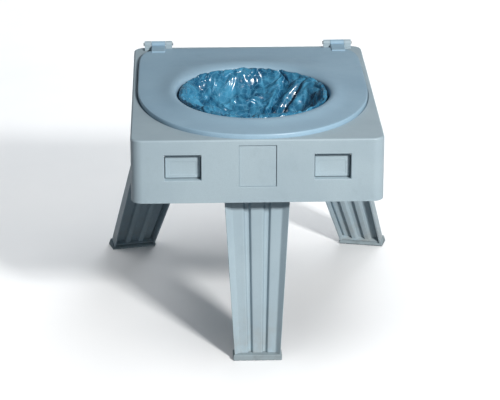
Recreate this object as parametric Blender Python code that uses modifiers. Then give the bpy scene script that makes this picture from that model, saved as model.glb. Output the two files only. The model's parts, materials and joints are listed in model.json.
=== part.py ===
"""Folding camp toilet: a moulded case on three hinged legs.

Units are metres and +Z is up. The front of the toilet faces -Y, +X is its right-hand side as seen
from the front, and the origin is on the ground below the middle of the case.
"""
import bmesh
import bpy
from math import atan, atan2, cos, pi, radians, sin, sqrt, tan
from mathutils import Matrix, Vector

# --- driving dimensions -------------------------------------------------------------------------
CASE_W = 0.381            # case, left to right
CASE_D = 0.483            # case, front to back
CASE_TOP = 0.360          # height of the case's top face
CASE_T = 0.100            # thickness of the case
WALL = 0.004              # moulded wall
CORNER_R = 0.018          # upright corners of the case
EDGE_R = 0.003            # other outer edges of the case
CASE_Y = -0.0148          # middle of the case, front to back
GAP = 0.0003              # clearance between neighbours
BEYOND = 0.010            # how far a cutter reaches past what it cuts

OPEN_A = 0.1205           # half width of the seat opening
OPEN_B = 0.132            # half depth of the seat opening
OPEN_AHEAD = 0.034        # centre of the opening, forward of the middle of the case
SEAT_A = 0.182            # half width of the seat
SEAT_FRONT = 0.236        # seat, middle to its rounded front
SEAT_BACK = 0.2148        # seat, middle to its square back
SEAT_CREST = 0.3715       # highest line of the seat
SEAT_SHEET = 0.003
SEAT_CLEAR = 0.0012       # around the seat in the case's let-in
RECESS_DEPTH = 0.005      # let-in for the seat
HOLE_GROW = 0.009         # deck hole, beyond the seat opening
BUMPER_R = 0.005
BUMPER_T = 0.0047

PIN_Z = 0.281             # height of the leg hinge pins
PIN_R = 0.004
PIN_HEAD_R = 0.0065
PIN_HEAD_T = 0.0025
PIN_END = 0.003           # pin end beyond its yoke
WASHER_T = 0.0013
LEG_DEPTH = 0.024         # leg channel, outer face to inner edge
LEG_HALF_TOP = 0.050
LEG_HALF_FOOT = 0.035
LEG_SHEET = 0.0028
LEG_ROWS = 5              # rings of points down a leg, because a slanted taper twists its faces
BARREL_HALF = 0.043
NECK_HALF_DEPTH = 0.010
NECK_OVERLAP = 0.004      # neck into the barrel and into the channel
BOARD_START = 0.021       # top of the leg channel, below its pin
PAD_T = 0.008             # foot, on the leg's middle line
FOOT_SPREAD = 0.0022      # foot beyond the leg, all round
FRONT_LEAN = radians(4.8)
REAR_PIN_X = 0.1185
REAR_FOOT_X = 0.201       # middle of a rear foot

YOKE_HALF_DEPTH = 0.015
YOKE_T = 0.005
LUG_T = 0.007
LUG_CLEAR = 0.0004        # between barrel and lug
LUG_BACK = 0.0155         # lug beyond the pin, on the leg's outer side
LUG_DROP = 0.012          # lug beyond the pin, downwards and on the leg's inner side
STOP_R = 0.0025           # bar that the open leg rests against
YOKE_SCREWS = 0.022       # screws, each side of the yoke's middle

RING_IN, RING_OUT = 0.010, 0.020
RING_T = 0.003
RING_SCREW_TURNS = (40, 140, 220, 320)
SCREW_R = 0.0015
SCREW_HEAD_R = 0.0036
SCREW_HEAD_T = 0.0019
SCREW_BITE = 0.0020       # screw into the deck
SCREW_SLOT_HALF = 0.0026
SCREW_SLOT_W = 0.0008

HINGE_X = 0.150
HINGE_Z = 0.3695
HINGE_HALF = 0.023        # hinge block, half width
HINGE_LUG = 0.011
HINGE_BLOCK_HALF_DEPTH = 0.0095
HINGE_BLOCK_T = 0.0029
HINGE_PIN_R = 0.0025
HINGE_PIN_END = 0.002
HINGE_HOLE_DEPTH = 0.0024
KNUCKLE_R = 0.005
ARM_HALF = 0.0115
ARM_REACH = 0.039
ARM_LIFT = 0.0042         # underside of a hinge arm above the case

GRIP_X = 0.1125
GRIP_W = 0.055
GRIP_LOW, GRIP_HIGH = 0.296, 0.336
POCKET_DEPTH = 0.0175
POCKET_SIDE = 0.005       # moulded sleeve beside a pocket
POCKET_BACK = 0.003       # and behind, above and below it
GRIP_CLEAR = 0.0012
GRIP_FACE = 0.0028        # flap's face, forward of its pin
GRIP_T = 0.0040
GRIP_BARREL_R = 0.0033
GRIP_PIN_R = 0.0015
GRIP_PIN_DROP = 0.005     # pin below the top of its pocket
GRIP_PIN_END = 0.0025

BADGE_W, BADGE_H = 0.057, 0.066
BADGE_Z = 0.318
BADGE_DEPTH = 0.0045      # recess for the plate
BADGE_FACE = 0.0022       # plate's face behind the case's front
BADGE_CLEAR = 0.0006
BADGE_PAD = 0.006         # thickened wall around the recess
BADGE_PAD_T = 0.003

NET_SHEET = 0.0012
LINER_SHEET = 0.0010
OVAL_ROUND = 48           # points of a large oval
SEAT_ROUND = 64

# --- worked out from them -----------------------------------------------------------------------
CASE_BOTTOM = CASE_TOP - CASE_T
FRONT_Y = CASE_Y - CASE_D / 2
OPEN_Y = CASE_Y - OPEN_AHEAD
RECESS_FLOOR = CASE_TOP - RECESS_DEPTH
DECK_UNDER = RECESS_FLOOR - WALL
LIP_BOTTOM = DECK_UNDER - 0.0035
FRONT_PIN_Y = CASE_Y - 0.205
REAR_PIN_Y = CASE_Y + 0.184
REAR_FOOT_Y = CASE_Y + 0.250
BARREL_R = LEG_DEPTH / 2
BORE_R = PIN_R + GAP
SCREW_HOLE_R = SCREW_R + GAP
HINGE_BORE_R = HINGE_PIN_R + GAP
GRIP_BORE_R = GRIP_PIN_R + GAP
LUG_IN = BARREL_HALF + LUG_CLEAR
LUG_OUT = LUG_IN + LUG_T
YOKE_BASE = DECK_UNDER - GAP - YOKE_T
HINGE_Y = CASE_Y + 0.229
GRIP_PIN_Y = FRONT_Y + 0.0138
GRIP_PIN_Z = GRIP_HIGH - GRIP_PIN_DROP
HANDS = ((-1, "left"), (1, "right"))

# Half of the leg's section: share of the half width, and depth from the outer face.
LEG_PROFILE = [(1.0, LEG_DEPTH), (1.0, 0.0), (0.79, 0.009), (0.43, 0.009), (0.38, 0.015),
               (0.25, 0.015), (0.20, 0.009)]
# Seat: share of the way in from its outline, and height: outer skirt, roll, lip in the opening.
SEAT_SECTION = [(0.0, RECESS_FLOOR + 0.0008), (0.0, CASE_TOP + 0.0045), (0.03, CASE_TOP + 0.0064),
                (0.40, CASE_TOP + 0.0072), (0.62, CASE_TOP + 0.0090), (0.76, CASE_TOP + 0.0109),
                (0.85, SEAT_CREST), (0.94, SEAT_CREST - 0.0014), (1.0, SEAT_CREST - 0.0050),
                (1.0, LIP_BOTTOM)]
# Soft bowls: growth beyond the seat opening, and height.
LINER_SECTION = [(0.022, RECESS_FLOOR + 0.0018), (0.0072, RECESS_FLOOR + 0.0018), (0.0062, 0.349),
                 (0.0042, 0.343), (-0.006, 0.3370), (-0.025, 0.3240), (-0.060, 0.3115), (-0.098, 0.3075)]
NET_SECTION = [(0.0105, 0.3468), (0.0095, 0.3410), (0.0, 0.3325), (-0.025, 0.3175),
               (-0.060, 0.3045), (-0.098, 0.3005)]
BUMPER_SPOTS = [(-0.148, CASE_Y - 0.085), (0.148, CASE_Y - 0.085),
                (-0.148, CASE_Y + 0.150), (0.148, CASE_Y + 0.150)]

for old in list(bpy.data.objects):
    bpy.data.objects.remove(old, do_unlink=True)

PARTS = bpy.data.collections.new("camp_toilet")
CUTTERS = bpy.data.collections.new("cutters")
for group in (PARTS, CUTTERS):
    bpy.context.scene.collection.children.link(group)


def material(name, colour, roughness, metallic=0.0):
    """A Principled material in one plain colour."""
    made = bpy.data.materials.new(name)
    made.use_nodes = True
    made.diffuse_color = (*colour, 1.0)
    shader = made.node_tree.nodes["Principled BSDF"]
    shader.inputs["Base Color"].default_value = (*colour, 1.0)
    shader.inputs["Roughness"].default_value = roughness
    shader.inputs["Metallic"].default_value = metallic
    return made


SHELL_GREY = material("shell_plastic", (0.42, 0.51, 0.55), 0.42)
SEAT_GREY = material("seat_plastic", (0.40, 0.50, 0.57), 0.36)
LEG_GREY = material("leg_plastic", (0.43, 0.53, 0.58), 0.42)
FIT_GREY = material("fitting_plastic", (0.36, 0.44, 0.49), 0.45)
RUBBER = material("foot_rubber", (0.33, 0.39, 0.42), 0.80)
STEEL = material("pin_steel", (0.60, 0.61, 0.62), 0.30, 1.0)
NET_BLACK = material("net_nylon", (0.05, 0.06, 0.07), 0.85)
FILM_BLUE = material("liner_film", (0.03, 0.22, 0.42), 0.25)


# --- modelling helpers --------------------------------------------------------------------------
def finish(bm, name, skin=None, frame=None, smooth=False):
    """Turn a bmesh into an object; with no material it is a cutter."""
    bmesh.ops.recalc_face_normals(bm, faces=bm.faces)
    mesh = bpy.data.meshes.new(name)
    bm.to_mesh(mesh)
    bm.free()
    made = bpy.data.objects.new(name, mesh)
    if frame is not None:
        made.matrix_world = frame
    if skin is None:
        CUTTERS.objects.link(made)
        made.hide_render = True
        made.display_type = "WIRE"
        return made
    PARTS.objects.link(made)
    mesh.materials.append(skin)
    if smooth:
        mesh.shade_smooth()
        mesh.set_sharp_from_angle(angle=radians(35))
    return made


def box(name, low, high, skin=None, frame=None, upright_r=0.0, edge_r=0.0):
    """A box between two corners, with rounded upright corners and softened edges if asked."""
    bm = bmesh.new()
    bmesh.ops.create_cube(bm, size=1.0)
    size = [h - l for l, h in zip(low, high)]
    middle = [(h + l) / 2 for l, h in zip(low, high)]
    bmesh.ops.scale(bm, vec=size, verts=bm.verts)
    bmesh.ops.translate(bm, vec=middle, verts=bm.verts)
    if upright_r:
        upright = [e for e in bm.edges if abs(e.verts[0].co.z - e.verts[1].co.z) > size[2] / 2]
        bmesh.ops.bevel(bm, geom=upright, offset=upright_r, segments=5, profile=0.5, affect="EDGES")
    if edge_r:
        rim = [e for e in bm.edges if e.calc_face_angle(0.0) > radians(60)]
        bmesh.ops.bevel(bm, geom=rim, offset=edge_r, segments=2, profile=0.5, affect="EDGES")
    return finish(bm, name, skin, frame)


def rod(name, radius, start, end, skin=None, frame=None, segments=20):
    """A round bar between two points."""
    start, end = Vector(start), Vector(end)
    along = end - start
    bm = bmesh.new()
    bmesh.ops.create_cone(bm, cap_ends=True, segments=segments, radius1=radius, radius2=radius,
                          depth=along.length)
    turn = Vector((0, 0, 1)).rotation_difference(along).to_matrix().to_4x4()
    bmesh.ops.transform(bm, matrix=Matrix.Translation((start + end) / 2) @ turn, verts=bm.verts)
    return finish(bm, name, skin, frame, smooth=skin is not None)


def combine(target, tool, operation):
    """Cut or join with a helper solid."""
    step = target.modifiers.new(operation.lower(), "BOOLEAN")
    step.operation = operation
    step.solver = "EXACT"
    step.object = tool


def cut(target, *tools):
    for tool in tools:
        combine(target, tool, "DIFFERENCE")


def join(target, *tools):
    for tool in tools:
        combine(target, tool, "UNION")


def rings_surface(rings, close_middle=False):
    """Skin a stack of closed rings, each a list of points; the last one may be closed over."""
    bm = bmesh.new()
    made = [[bm.verts.new(point) for point in ring] for ring in rings]
    count = len(made[0])
    for outer, inner in zip(made, made[1:]):
        for i in range(count):
            bm.faces.new((outer[i], outer[(i + 1) % count], inner[(i + 1) % count], inner[i]))
    if close_middle:
        centre = sum((v.co for v in made[-1]), Vector()) / count
        hub = bm.verts.new(centre)
        for i in range(count):
            bm.faces.new((made[-1][i], made[-1][(i + 1) % count], hub))
    return bm


def thicken(target, thickness, offset=-1.0):
    """Give an open surface its wall."""
    wall = target.modifiers.new("wall", "SOLIDIFY")
    wall.thickness = thickness
    wall.offset = offset
    wall.use_even_offset = True


# --- outlines -----------------------------------------------------------------------------------
def oval(grow, z):
    """The seat opening's oval, grown evenly, at one height."""
    ring = []
    for i in range(OVAL_ROUND):
        turn = 2 * pi * i / OVAL_ROUND
        ring.append(((OPEN_A + grow) * cos(turn), OPEN_Y + (OPEN_B + grow) * sin(turn), z))
    return ring


def seat_reach(turn, grow):
    """Distance from the opening's centre to the seat's outline: round in front, square behind."""
    near, far = 0.0, CASE_D
    for _ in range(40):
        middle = (near + far) / 2
        x = middle * cos(turn)
        y = middle * sin(turn) - OPEN_AHEAD
        power = 2.2 if y < 0 else 9.0
        half_depth = (SEAT_FRONT if y < 0 else SEAT_BACK) + grow
        inside = abs(x / (SEAT_A + grow)) ** power + abs(y / half_depth) ** power < 1.0
        near, far = (middle, far) if inside else (near, middle)
    return near


def seat_ring(inward, z, grow=0.0):
    """A ring between the seat's outline (inward 0) and its opening (inward 1)."""
    ring = []
    for i in range(SEAT_ROUND):
        turn = 2 * pi * i / SEAT_ROUND
        outer = seat_reach(turn, grow)
        inner = 1.0 / sqrt((cos(turn) / OPEN_A) ** 2 + (sin(turn) / OPEN_B) ** 2)
        reach = outer + (inner - outer) * inward
        ring.append((reach * cos(turn), OPEN_Y + reach * sin(turn), z))
    return ring


def prism(name, ring, low, high):
    """An upright cutter with the given outline."""
    bm = rings_surface([[(x, y, low) for x, y, _ in ring], [(x, y, high) for x, y, _ in ring]])
    bmesh.ops.holes_fill(bm, edges=bm.edges, sides=0)
    return finish(bm, name)


# --- leg frames ---------------------------------------------------------------------------------
class LegPlace:
    """Where a leg hangs: its pin's frame, its lean outwards and its sideways slant."""

    def __init__(self, name, pin, foot, outward):
        self.name = name
        self.pin = Vector(pin)
        run = Vector((foot[0] - pin[0], foot[1] - pin[1], -pin[2])).normalized()
        # The folded leg lies along Y, so the pin makes the same angle with both directions.
        self.swing = outward
        self.turn = atan(-outward * run.x / (1.0 + outward * run.y)) if run.x else 0.0
        axis = Vector((cos(self.turn), sin(self.turn), 0.0))
        along = run.dot(axis)
        across = run - along * axis
        flat = Vector((-sin(self.turn), cos(self.turn), 0.0))
        self.lean = atan2(across.dot(flat), -across.z)
        self.slant = along / across.length
        self.upright = Matrix.Translation(self.pin) @ Matrix.Rotation(self.turn, 4, "Z")
        self.frame = self.upright @ Matrix.Rotation(self.lean, 4, "X")
        self.stop = self.pin.z / cos(self.lean) - PAD_T

    def ground(self, y):
        """Distance down the leg at which a line at this depth meets the ground."""
        return (self.pin.z + y * sin(self.lean)) / cos(self.lean)

    def point(self, across, inward, down):
        """A point of the leg: across in half widths, inward from its outer face, down from the pin."""
        reach = self.pin.z / cos(self.lean)
        share = (down - BOARD_START) / (reach - BOARD_START)
        half = LEG_HALF_TOP + (LEG_HALF_FOOT - LEG_HALF_TOP) * share
        y = self.swing * (LEG_DEPTH / 2 - inward)
        return Vector((across * half + self.slant * down, y, -down))


FRONT_FOOT_Y = FRONT_PIN_Y - PIN_Z * tan(FRONT_LEAN)
LEGS = [
    LegPlace("front", (0.0, FRONT_PIN_Y, PIN_Z), (0.0, FRONT_FOOT_Y), -1),
    LegPlace("rear_left", (-REAR_PIN_X, REAR_PIN_Y, PIN_Z), (-REAR_FOOT_X, REAR_FOOT_Y), 1),
    LegPlace("rear_right", (REAR_PIN_X, REAR_PIN_Y, PIN_Z), (REAR_FOOT_X, REAR_FOOT_Y), 1),
]


# --- case ---------------------------------------------------------------------------------------
def screw_places():
    """Every screw under the deck: name, x, y and the height that its head is drawn up to."""
    places = []
    for leg in LEGS:
        for number, along in enumerate((-YOKE_SCREWS, YOKE_SCREWS), 1):
            spot = leg.upright @ Vector((along, 0.0, 0.0))
            places.append((f"{leg.name}_bracket_screw_{number}", spot.x, spot.y, YOKE_BASE))
    for number, turn in enumerate(RING_SCREW_TURNS, 1):
        middle = (RING_IN + RING_OUT) / 2
        x = (OPEN_A + middle) * cos(radians(turn))
        y = OPEN_Y + (OPEN_B + middle) * sin(radians(turn))
        places.append((f"net_ring_screw_{number}", x, y, DECK_UNDER - GAP - RING_T))
    return places


def build_case():
    half_w, back_y = CASE_W / 2, CASE_Y + CASE_D / 2
    case = box("case_shell", (-half_w, FRONT_Y, CASE_BOTTOM), (half_w, back_y, CASE_TOP),
               SHELL_GREY, upright_r=CORNER_R, edge_r=EDGE_R)
    hollow = box("case_hollow", (-half_w + WALL, FRONT_Y + WALL, CASE_BOTTOM - BEYOND),
                 (half_w - WALL, back_y - WALL, DECK_UNDER), upright_r=CORNER_R - WALL)
    cut(case, hollow)
    for side, word in HANDS:
        low = (side * GRIP_X - GRIP_W / 2, FRONT_Y, GRIP_LOW)
        high = (side * GRIP_X + GRIP_W / 2, FRONT_Y + POCKET_DEPTH, GRIP_HIGH)
        join(case, box(f"pocket_sleeve_{word}",
                       (low[0] - POCKET_SIDE, FRONT_Y + WALL / 2, low[2] - POCKET_BACK),
                       (high[0] + POCKET_SIDE, high[1] + POCKET_BACK, high[2] + POCKET_BACK)))
        cut(case, box(f"pocket_{word}", (low[0], FRONT_Y - BEYOND, low[2]), high))
        reach = GRIP_W / 2 + GRIP_PIN_END + 0.0005
        cut(case, rod(f"grip_pin_hole_{word}", GRIP_BORE_R, (side * GRIP_X - reach, GRIP_PIN_Y, GRIP_PIN_Z),
                      (side * GRIP_X + reach, GRIP_PIN_Y, GRIP_PIN_Z), segments=12))
    cut(case, prism("seat_recess", seat_ring(0.0, 0.0, grow=SEAT_CLEAR), RECESS_FLOOR, CASE_TOP + BEYOND))
    cut(case, prism("deck_hole", oval(HOLE_GROW, 0.0), DECK_UNDER - BEYOND, CASE_TOP + BEYOND))
    half, low, high = BADGE_W / 2, BADGE_Z - BADGE_H / 2, BADGE_Z + BADGE_H / 2
    join(case, box("badge_pad", (-half - BADGE_PAD, FRONT_Y + WALL / 2, low - BADGE_PAD),
                   (half + BADGE_PAD, FRONT_Y + WALL + BADGE_PAD_T, DECK_UNDER + WALL / 2)))
    cut(case, box("badge_recess", (-half, FRONT_Y - BEYOND, low), (half, FRONT_Y + BADGE_DEPTH, high)))
    for name, x, y, _ in screw_places():
        cut(case, rod(f"{name}_hole", SCREW_HOLE_R, (x, y, DECK_UNDER - BEYOND),
                      (x, y, DECK_UNDER + SCREW_BITE + 0.0005), segments=12))
    for side, word in HANDS:
        x = side * HINGE_X
        cut(case, rod(f"hinge_screw_hole_{word}", SCREW_HOLE_R, (x, HINGE_Y, DECK_UNDER - BEYOND),
                      (x, HINGE_Y, CASE_TOP + BEYOND), segments=12))
    return case


def build_badge():
    """A blank plate let into the middle of the front."""
    half, half_h = BADGE_W / 2 - BADGE_CLEAR, BADGE_H / 2 - BADGE_CLEAR
    return box("front_badge_plate", (-half, FRONT_Y + BADGE_FACE, BADGE_Z - half_h),
               (half, FRONT_Y + BADGE_DEPTH - GAP, BADGE_Z + half_h), SHELL_GREY)


# --- seat ---------------------------------------------------------------------------------------
def build_seat():
    seat = finish(rings_surface([seat_ring(inward, z) for inward, z in SEAT_SECTION]),
                  "seat_plate", SEAT_GREY, smooth=True)
    thicken(seat, SEAT_SHEET)
    for side, word in HANDS:
        x = side * HINGE_X
        arm = box(f"seat_arm_{word}", (x - ARM_HALF, HINGE_Y - ARM_REACH, CASE_TOP + ARM_LIFT),
                  (x + ARM_HALF, HINGE_Y, HINGE_Z - 0.0010))
        knuckle = rod(f"seat_knuckle_{word}", KNUCKLE_R, (x - ARM_HALF, HINGE_Y, HINGE_Z),
                      (x + ARM_HALF, HINGE_Y, HINGE_Z))
        join(seat, arm, knuckle)
        cut(seat, rod(f"seat_bore_{word}", HINGE_BORE_R, (x - ARM_HALF - BEYOND, HINGE_Y, HINGE_Z),
                      (x + ARM_HALF + BEYOND, HINGE_Y, HINGE_Z), segments=16))
    return seat


def build_bumpers():
    low = RECESS_FLOOR + GAP
    for number, (x, y) in enumerate(BUMPER_SPOTS, 1):
        rod(f"seat_bumper_{number}", BUMPER_R, (x, y, low), (x, y, low + BUMPER_T), RUBBER, segments=16)


def build_seat_hinges():
    for side, word in HANDS:
        x = side * HINGE_X
        low = CASE_TOP + GAP
        block = box(f"seat_hinge_block_{word}", (x - HINGE_HALF, HINGE_Y - HINGE_BLOCK_HALF_DEPTH, low),
                    (x + HINGE_HALF, HINGE_Y + HINGE_BLOCK_HALF_DEPTH, low + HINGE_BLOCK_T), SHELL_GREY)
        for end in (-1, 1):
            near, far = sorted((x + end * (HINGE_HALF - HINGE_LUG), x + end * HINGE_HALF))
            join(block, box(f"hinge_lug_{word}", (near, HINGE_Y - KNUCKLE_R, CASE_TOP + HINGE_BLOCK_T / 2),
                            (far, HINGE_Y + KNUCKLE_R, HINGE_Z)))
            join(block, rod(f"hinge_eye_{word}", KNUCKLE_R, (near, HINGE_Y, HINGE_Z),
                            (far, HINGE_Y, HINGE_Z)))
        cut(block, rod(f"hinge_bore_{word}", HINGE_BORE_R, (x - HINGE_HALF - BEYOND, HINGE_Y, HINGE_Z),
                       (x + HINGE_HALF + BEYOND, HINGE_Y, HINGE_Z), segments=16))
        cut(block, rod(f"hinge_block_hole_{word}", SCREW_HOLE_R, (x, HINGE_Y, CASE_TOP - BEYOND),
                       (x, HINGE_Y, CASE_TOP + HINGE_HOLE_DEPTH), segments=12))
        rod(f"seat_hinge_pin_{word}", HINGE_PIN_R, (x - HINGE_HALF - HINGE_PIN_END, HINGE_Y, HINGE_Z),
            (x + HINGE_HALF + HINGE_PIN_END, HINGE_Y, HINGE_Z), STEEL, segments=16)
        build_screw(f"seat_hinge_screw_{word}", x, HINGE_Y, DECK_UNDER, CASE_TOP + SCREW_BITE)


def build_screw(name, x, y, under, tip):
    """A slotted pan-head screw driven upwards, its head drawn up to the given height."""
    top = under - GAP
    screw = rod(name, SCREW_HEAD_R, (x, y, top - SCREW_HEAD_T), (x, y, top), STEEL, segments=16)
    join(screw, rod(f"{name}_shank", SCREW_R, (x, y, top - SCREW_HEAD_T / 3), (x, y, tip), segments=12))
    slot_top = top - SCREW_HEAD_T * 0.6
    cut(screw, box(f"{name}_slot", (x - SCREW_SLOT_HALF, y - SCREW_SLOT_W / 2, top - BEYOND),
                   (x + SCREW_SLOT_HALF, y + SCREW_SLOT_W / 2, slot_top)))


# --- legs ---------------------------------------------------------------------------------------
def build_leg(leg):
    """Ribbed channel that tapers to the foot, with a barrel for the pin."""
    profile = LEG_PROFILE + [(-across, inward) for across, inward in reversed(LEG_PROFILE)]
    bm = bmesh.new()
    rows = []
    for row in range(LEG_ROWS):
        down = BOARD_START + (leg.stop + BEYOND / 2 - BOARD_START) * row / (LEG_ROWS - 1)
        rows.append([bm.verts.new(leg.point(across, inward, down)) for across, inward in profile])
    for upper, lower in zip(rows, rows[1:]):
        for i in range(len(profile) - 1):
            bm.faces.new((upper[i], upper[i + 1], lower[i + 1], lower[i]))
    mesh = finish(bm, f"{leg.name}_leg", LEG_GREY, leg.frame)
    centre_land = mesh.data.polygons[len(LEG_PROFILE) - 1]
    faces_out = centre_land.normal.y * leg.swing > 0
    thicken(mesh, LEG_SHEET, offset=-1.0 if faces_out else 1.0)
    wide = REAR_FOOT_X
    cut(mesh, box(f"{leg.name}_leg_end", (-wide, -LEG_DEPTH, -leg.stop - BEYOND),
                  (wide, LEG_DEPTH, -leg.stop), frame=leg.frame))
    neck = box(f"{leg.name}_neck", (-BARREL_HALF, -NECK_HALF_DEPTH, -BOARD_START - NECK_OVERLAP),
               (BARREL_HALF, NECK_HALF_DEPTH, -NECK_OVERLAP), frame=leg.frame)
    barrel = rod(f"{leg.name}_barrel", BARREL_R, (-BARREL_HALF, 0, 0), (BARREL_HALF, 0, 0),
                 frame=leg.frame, segments=24)
    join(mesh, neck, barrel)
    cut(mesh, rod(f"{leg.name}_leg_bore", BORE_R, (-LUG_OUT, 0, 0), (LUG_OUT, 0, 0), frame=leg.frame))
    return mesh


def build_foot(leg):
    """A rubber shoe across the end of the leg, flat on the ground."""
    near, far = -FOOT_SPREAD, LEG_DEPTH + FOOT_SPREAD
    rings = []
    for on_ground in (False, True):
        ring = []
        for across, inward in ((-1, near), (1, near), (1, far), (-1, far)):
            corner = leg.point(across, inward, leg.stop + GAP)
            corner.x += across * FOOT_SPREAD
            if on_ground:
                down = leg.ground(corner.y)
                corner.x += leg.slant * (down + corner.z)
                corner.z = -down
            ring.append(corner)
        rings.append(ring)
    bm = rings_surface(rings)
    bmesh.ops.holes_fill(bm, edges=bm.edges, sides=0)
    return finish(bm, f"{leg.name}_foot", RUBBER, leg.frame)


def build_bracket(leg):
    """A yoke under the deck that carries the leg's pin and its stop."""
    base = YOKE_BASE - PIN_Z
    top = base + YOKE_T
    yoke = box(f"{leg.name}_leg_bracket", (-LUG_OUT, -YOKE_HALF_DEPTH, base),
               (LUG_OUT, YOKE_HALF_DEPTH, top), FIT_GREY, frame=leg.upright)
    for end, word in ((-1, "near"), (1, "far")):
        low, high = sorted((end * LUG_IN, end * LUG_OUT))
        back, front = sorted((leg.swing * LUG_BACK, -leg.swing * LUG_DROP))
        join(yoke, box(f"{leg.name}_lug_{word}", (low, back, -LUG_DROP), (high, front, base + YOKE_T / 2),
                       frame=leg.upright))
    away = NECK_HALF_DEPTH + GAP + STOP_R
    spot = Matrix.Rotation(leg.lean, 4, "X") @ Vector((0.0, leg.swing * away, -NECK_HALF_DEPTH))
    stop_half = LUG_OUT - 0.001
    join(yoke, rod(f"{leg.name}_stop", STOP_R, (-stop_half, spot.y, spot.z), (stop_half, spot.y, spot.z),
                   frame=leg.upright, segments=12))
    past = LUG_OUT + BEYOND
    cut(yoke, rod(f"{leg.name}_lug_bore", BORE_R, (-past, 0, 0), (past, 0, 0), frame=leg.upright))
    for along in (-YOKE_SCREWS, YOKE_SCREWS):
        cut(yoke, rod(f"{leg.name}_yoke_hole", SCREW_HOLE_R, (along, 0, base - BEYOND),
                      (along, 0, top + BEYOND), frame=leg.upright, segments=12))
    return yoke


def build_leg_pin(leg):
    """Headed pin through yoke and leg, held by a push-on washer at its inner end."""
    outer = -1 if leg.pin.x < 0 else 1
    start = LUG_OUT + GAP
    pin = rod(f"{leg.name}_leg_pin", PIN_R, (-outer * (LUG_OUT + PIN_END), 0, 0),
              (outer * (start + PIN_HEAD_T / 2), 0, 0), STEEL, frame=leg.upright)
    join(pin, rod(f"{leg.name}_pin_head", PIN_HEAD_R, (outer * start, 0, 0),
                  (outer * (start + PIN_HEAD_T), 0, 0), frame=leg.upright))
    washer = rod(f"{leg.name}_pin_washer", PIN_HEAD_R, (-outer * start, 0, 0),
                 (-outer * (start + WASHER_T), 0, 0), STEEL, frame=leg.upright)
    past = LUG_OUT + BEYOND
    cut(washer, rod(f"{leg.name}_washer_bore", BORE_R, (-past, 0, 0), (past, 0, 0), frame=leg.upright))


# --- grips, net and liner -----------------------------------------------------------------------
def build_grip(side, word):
    """A flap at the back of its pocket that swings out on a pin along its top edge."""
    x, half = side * GRIP_X, GRIP_W / 2 - GRIP_CLEAR
    face = GRIP_PIN_Y - GRIP_FACE
    flap = box(f"front_grip_{word}", (x - half, face, GRIP_LOW + GRIP_CLEAR),
               (x + half, face + GRIP_T, GRIP_PIN_Z), SHELL_GREY)
    join(flap, rod(f"grip_barrel_{word}", GRIP_BARREL_R, (x - half, GRIP_PIN_Y, GRIP_PIN_Z),
                   (x + half, GRIP_PIN_Y, GRIP_PIN_Z), segments=16))
    cut(flap, rod(f"grip_bore_{word}", GRIP_BORE_R, (x - half - BEYOND, GRIP_PIN_Y, GRIP_PIN_Z),
                  (x + half + BEYOND, GRIP_PIN_Y, GRIP_PIN_Z), segments=12))
    reach = GRIP_W / 2 + GRIP_PIN_END
    rod(f"front_grip_pin_{word}", GRIP_PIN_R, (x - reach, GRIP_PIN_Y, GRIP_PIN_Z),
        (x + reach, GRIP_PIN_Y, GRIP_PIN_Z), STEEL, segments=12)
    return flap


def build_net_ring():
    high = DECK_UNDER - GAP
    low = high - RING_T
    rings = [oval(RING_IN, low), oval(RING_OUT, low), oval(RING_OUT, high), oval(RING_IN, high)]
    rings.append(rings[0])
    bm = rings_surface(rings)
    bmesh.ops.remove_doubles(bm, verts=bm.verts, dist=0.0001)
    ring = finish(bm, "net_ring", FIT_GREY)
    for name, x, y, _ in screw_places():
        if name.startswith("net_ring"):
            cut(ring, rod(f"{name}_ring_hole", SCREW_HOLE_R, (x, y, low - BEYOND), (x, y, high + BEYOND),
                          segments=12))
    return ring


def build_bowl(name, section, wall, skin):
    """A soft bowl below the opening: each pair is growth beyond the opening, and height."""
    bowl = finish(rings_surface([oval(grow, z) for grow, z in section], close_middle=True),
                  name, skin, smooth=True)
    downwards = bowl.data.polygons[-1].normal.z < 0
    thicken(bowl, wall, offset=1.0 if downwards else -1.0)
    return bowl


build_case()
build_badge()
build_seat()
build_bumpers()
build_seat_hinges()
for place in LEGS:
    build_leg(place)
    build_foot(place)
    build_bracket(place)
    build_leg_pin(place)
for screw_name, screw_x, screw_y, head in screw_places():
    build_screw(screw_name, screw_x, screw_y, head, DECK_UNDER + SCREW_BITE)
for hand, hand_word in HANDS:
    build_grip(hand, hand_word)
build_net_ring()
build_bowl("bag_net", NET_SECTION, NET_SHEET, NET_BLACK)
build_bowl("waste_bag_liner", LINER_SECTION, LINER_SHEET, FILM_BLUE)
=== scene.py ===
"""Looks of the folding three-legged camp toilet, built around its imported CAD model.

Units are metres and +Z is up. The front faces -Y. Every place comes from the frame's own boxes and
joints, and the named sizes below are details that the CAD leaves plain.
"""

import bmesh
import bpy
import json
import numpy as np
from math import atan2, cos, hypot, pi, radians, sin, sqrt, tan
from mathutils import Matrix, Vector, noise


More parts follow.
